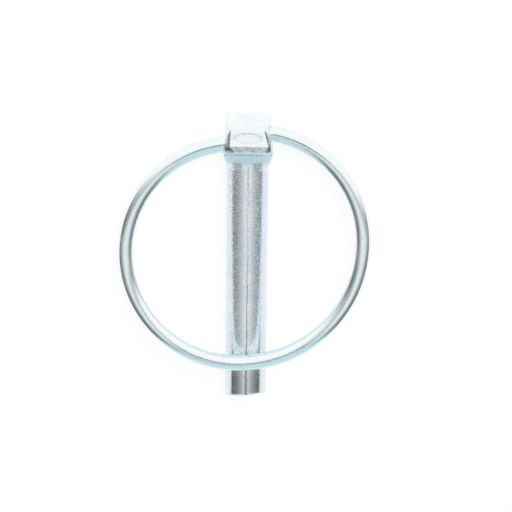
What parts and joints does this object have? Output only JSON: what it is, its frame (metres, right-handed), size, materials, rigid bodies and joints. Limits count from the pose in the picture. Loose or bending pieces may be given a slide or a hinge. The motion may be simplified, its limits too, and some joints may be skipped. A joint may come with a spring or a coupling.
{
  "type": "linch pin",
  "caption": "Linch pin: a round steel locking pin with a forged block head and a hinged spring-wire ring that closes round the fitting.",
  "frame": {"origin": "on the shank's axis, where the shoulder under the head starts", "axes": "+Y along the shank towards the head, +X to the right across the pin, +Z out of its front, where the closed ring lies; the pin lies on its back"},
  "size_m": [0.0367, 0.0436, 0.0092],
  "materials": {
    "zinc_pin": "bright zinc plate with a faint blue tint, finely grained over the forging",
    "zinc_ring": "bright zinc plate with a faint blue tint on drawn spring wire"
  },
  "bodies": {
    "pin": {"pin": "zinc_pin"},
    "ring": {"ring": "zinc_ring"}
  },
  "joints": [
    {"name": "ring_swing", "type": "hinge", "parent": "pin", "child": "ring", "pos_m": [0, 0.0037, 0], "axis": [-0.9744, -0.225, 0], "range_deg": [0, 345]}
  ]
}
